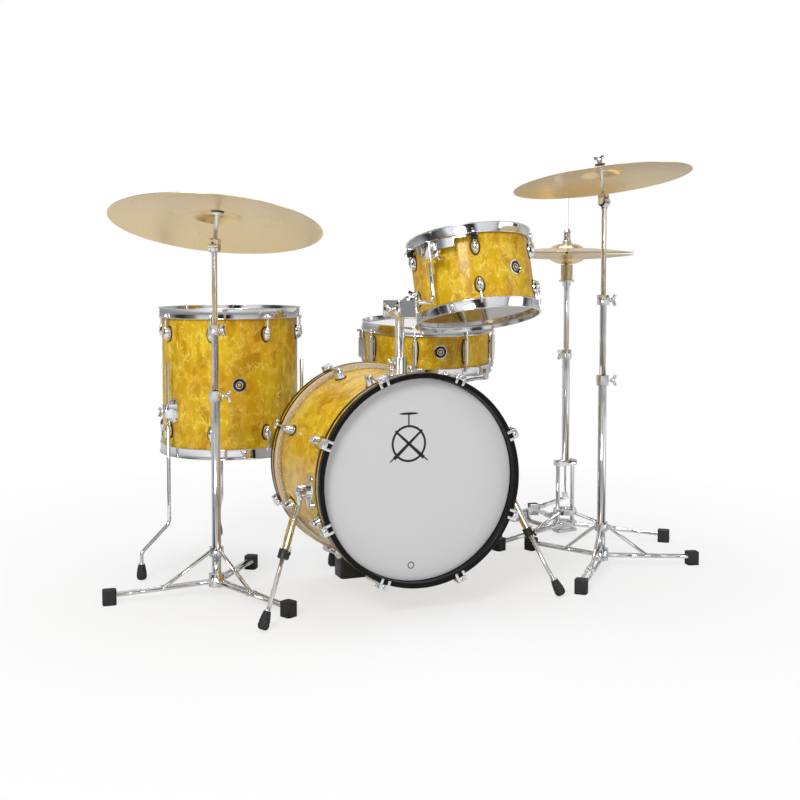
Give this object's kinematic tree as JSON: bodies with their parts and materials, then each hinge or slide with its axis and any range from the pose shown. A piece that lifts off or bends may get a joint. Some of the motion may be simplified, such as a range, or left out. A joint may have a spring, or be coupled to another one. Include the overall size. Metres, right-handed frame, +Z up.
{
  "type": "acoustic drum kit",
  "caption": "Jazz-size acoustic drum kit: bass drum with spurs and a post-mounted tom, floor tom, snare, two cymbal stands and a pedal hi-hat.",
  "frame": {"origin": "on the floor, in the middle of the kit's footprint", "axes": "+Z up, -Y towards the audience, +X to the audience's right along the kit's longest extent"},
  "size_m": [1.6063, 0.9648, 1.0769],
  "materials": {
    "pearl_wrap": "glossy yellow pearl wrap over a wood shell",
    "hoop_lacquer": "glossy black lacquer with a yellow inlay and a maple edge",
    "head_film": "smooth polyester film",
    "chrome": "polished",
    "tube_chrome": "polished tube",
    "cymbal_bronze": "lathed and hammered",
    "wire_steel": "bright drawn wire",
    "black_rubber": "matt",
    "lift_plastic": "black moulded, satin"
  },
  "bodies": {
    "kit": {"bass_shell": "pearl_wrap", "bass_hoops": "hoop_lacquer", "bass_heads": "head_film", "bass_lugs": "chrome", "bass_claws": "chrome", "bass_tension_rods": "chrome", "bass_lift": "lift_plastic", "spur_brackets": "chrome", "tom_mount_base": "chrome", "floor_tom_shell": "pearl_wrap", "floor_tom_hoops": "chrome", "floor_tom_heads": "head_film", "floor_tom_lugs": "chrome", "floor_tom_tension_rods": "chrome", "floor_tom_leg_brackets": "chrome", "left_stand_base": "tube_chrome", "right_stand_base": "tube_chrome", "snare_stand_base": "tube_chrome", "hihat_stand": "tube_chrome", "hihat_bottom_cymbal": "cymbal_bronze"},
    "left_spur": {"left_spur_tube": "tube_chrome"},
    "left_spur_leg": {"left_spur_rod": "tube_chrome", "left_spur_foot": "black_rubber"},
    "right_spur": {"right_spur_tube": "tube_chrome"},
    "right_spur_leg": {"right_spur_rod": "tube_chrome", "right_spur_foot": "black_rubber"},
    "post": {"tom_post": "tube_chrome"},
    "mount_head": {"tom_mount_head": "chrome"},
    "l_rod": {"tom_l_rod": "tube_chrome"},
    "rack_tom": {"tom_suspension": "chrome", "tom_shell": "pearl_wrap", "tom_hoops": "chrome", "tom_heads": "head_film", "tom_lugs": "chrome", "tom_tension_rods": "chrome"},
    "floor_leg_1": {"floor_tom_leg_1": "tube_chrome", "floor_tom_foot_1": "black_rubber"},
    "floor_leg_2": {"floor_tom_leg_2": "tube_chrome", "floor_tom_foot_2": "black_rubber"},
    "floor_leg_3": {"floor_tom_leg_3": "tube_chrome", "floor_tom_foot_3": "black_rubber"},
    "snare_column": {"snare_stand_tube": "tube_chrome"},
    "snare": {"snare_basket": "chrome", "snare_shell": "pearl_wrap", "snare_hoops": "chrome", "snare_heads": "head_film", "snare_lugs": "chrome", "snare_tension_rods": "chrome", "snare_strainer": "chrome", "snare_wires": "wire_steel"},
    "throw_lever": {"snare_throw_lever": "chrome"},
    "left_column": {"left_stand_upper_tube": "tube_chrome"},
    "left_tilter": {"left_cymbal_tilter": "chrome"},
    "left_ride": {"left_cymbal": "cymbal_bronze"},
    "right_column": {"right_stand_upper_tube": "tube_chrome"},
    "right_tilter": {"right_cymbal_tilter": "chrome"},
    "right_crash": {"right_cymbal": "cymbal_bronze"},
    "hihat_pull": {"hihat_pull_rod": "tube_chrome", "hihat_top_cymbal": "cymbal_bronze"},
    "footboard": {"hihat_footboard": "chrome"}
  },
  "joints": [
    {"name": "left_spur_fold", "type": "hinge", "parent": "kit", "child": "left_spur", "pos_m": [-0.38954, -0.3551, 0.28123], "axis": [1, 0, 0], "range_deg": [-70, 0]},
    {"name": "left_spur_length", "type": "slide", "parent": "left_spur", "child": "left_spur_leg", "axis": [0.3659, 0.2943, 0.8829], "range_m": [0, 0.06]},
    {"name": "right_spur_fold", "type": "hinge", "parent": "kit", "child": "right_spur", "pos_m": [0.11334, -0.3551, 0.28123], "axis": [1, 0, 0], "range_deg": [-70, 0]},
    {"name": "right_spur_length", "type": "slide", "parent": "right_spur", "child": "right_spur_leg", "axis": [-0.3659, 0.2943, 0.8829], "range_m": [0, 0.06]},
    {"name": "tom_post_height", "type": "slide", "parent": "kit", "child": "post", "axis": [0, 0, 1], "range_m": [0, 0.05]},
    {"name": "tom_mount_swivel", "type": "hinge", "parent": "post", "child": "mount_head", "pos_m": [-0.1381, -0.32485, 0.702], "axis": [0, 0, 1], "range_deg": [-30, 0]},
    {"name": "tom_tilt", "type": "hinge", "parent": "mount_head", "child": "l_rod", "pos_m": [-0.1381, -0.32485, 0.702], "axis": [0.8263, 0.5632, 0], "range_deg": [-15, 2]},
    {"name": "tom_clamp_height", "type": "slide", "parent": "l_rod", "child": "rack_tom", "axis": [-0.0231, 0.2493, 0.9681], "range_m": [0, 0.03]},
    {"name": "floor_leg_1_height", "type": "slide", "parent": "kit", "child": "floor_leg_1", "axis": [0, 0, 1], "range_m": [0, 0.06]},
    {"name": "floor_leg_2_height", "type": "slide", "parent": "kit", "child": "floor_leg_2", "axis": [0, 0, 1], "range_m": [0, 0.06]},
    {"name": "floor_leg_3_height", "type": "slide", "parent": "kit", "child": "floor_leg_3", "axis": [0, 0, 1], "range_m": [0, 0.06]},
    {"name": "snare_stand_height", "type": "slide", "parent": "kit", "child": "snare_column", "axis": [0, 0, 1], "range_m": [-0.06, 0]},
    {"name": "snare_tilt", "type": "hinge", "parent": "snare_column", "child": "snare", "pos_m": [0.1619, 0.22115, 0.418], "axis": [0.9816, -0.1908, 0], "range_deg": [-15, 0]},
    {"name": "snare_throw_off", "type": "hinge", "parent": "snare", "child": "throw_lever", "pos_m": [-0.0242, 0.26615, 0.57922], "axis": [-0.292, -0.9545, -0.0607], "range_deg": [0, 80]},
    {"name": "left_stand_height", "type": "slide", "parent": "kit", "child": "left_column", "axis": [0, 0, 1], "range_m": [-0.08, 0.07]},
    {"name": "left_cymbal_tilt", "type": "hinge", "parent": "left_column", "child": "left_tilter", "pos_m": [-0.5351, -0.13485, 0.833], "axis": [-0.8231, 0.5678, 0], "range_deg": [-25, 8]},
    {"name": "left_cymbal_spin", "type": "hinge", "parent": "left_tilter", "child": "left_ride", "pos_m": [-0.5351, -0.13485, 0.833], "axis": [0.1403, 0.2033, 0.969], "continuous": true},
    {"name": "right_stand_height", "type": "slide", "parent": "kit", "child": "right_column", "axis": [0, 0, 1], "range_m": [-0.08, 0.07]},
    {"name": "right_cymbal_tilt", "type": "hinge", "parent": "right_column", "child": "right_tilter", "pos_m": [0.4599, -0.24985, 0.955], "axis": [-0.9121, -0.4099, 0], "range_deg": [-25, 8]},
    {"name": "right_cymbal_spin", "type": "hinge", "parent": "right_tilter", "child": "right_crash", "pos_m": [0.4599, -0.24985, 0.955], "axis": [-0.0606, 0.1348, 0.989], "continuous": true},
    {"name": "hihat_pull_travel", "type": "slide", "parent": "kit", "child": "hihat_pull", "axis": [0, 0, -1], "range_m": [0, 0.005], "stiffness_N_per_m": 3000, "springref_m": -0.009},
    {"name": "footboard_hinge", "type": "hinge", "parent": "kit", "child": "footboard", "pos_m": [0.53, 0.33148, 0.021], "axis": [0.9875, 0.1577, 0], "range_deg": [0, 1.5]}
  ],
  "couplings": [
    {"joint": "footboard_hinge", "follows": "hihat_pull_travel", "rad_per_m": 5}
  ]
}
